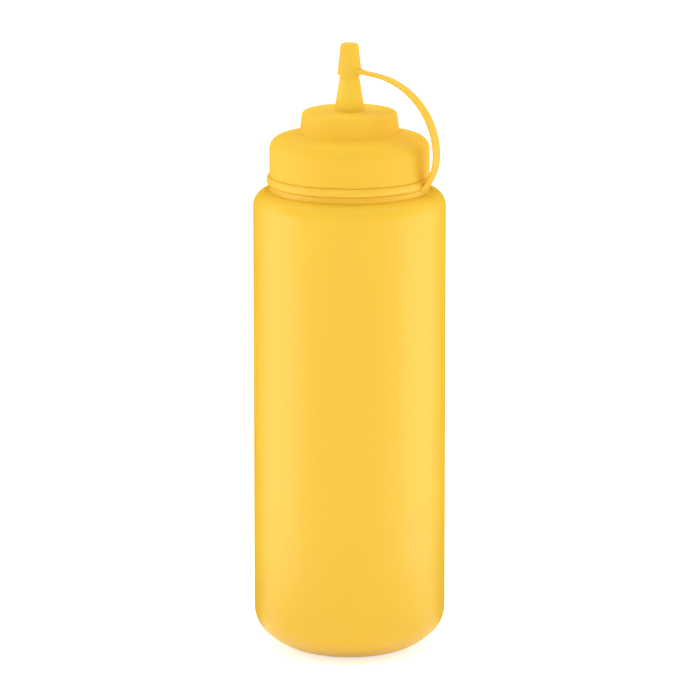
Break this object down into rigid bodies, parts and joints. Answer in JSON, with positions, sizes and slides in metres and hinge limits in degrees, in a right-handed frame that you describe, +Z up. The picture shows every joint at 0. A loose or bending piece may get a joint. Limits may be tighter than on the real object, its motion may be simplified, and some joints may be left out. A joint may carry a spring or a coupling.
{
  "type": "squeeze bottle",
  "caption": "Tall round squeeze bottle with a stepped nozzle lid and a conical tip cap, tethered by a thin band to a ring round the neck.",
  "frame": {"origin": "centre of the standing ring, on the surface that the bottle stands on", "axes": "+Z up along the bottle's axis; the cap's tether lies in the upright plane turned 25 degrees from +X towards the front, -Y"},
  "size_m": [0.084, 0.084, 0.2692],
  "materials": {
    "bottle_plastic": "soft satin yellow polyethylene",
    "lid_plastic": "soft satin yellow polyethylene",
    "cap_plastic": "soft satin yellow polyethylene"
  },
  "bodies": {
    "root": {"bottle": "bottle_plastic", "nozzle_lid": "lid_plastic", "tethered_cap": "cap_plastic"}
  },
  "joints": []
}
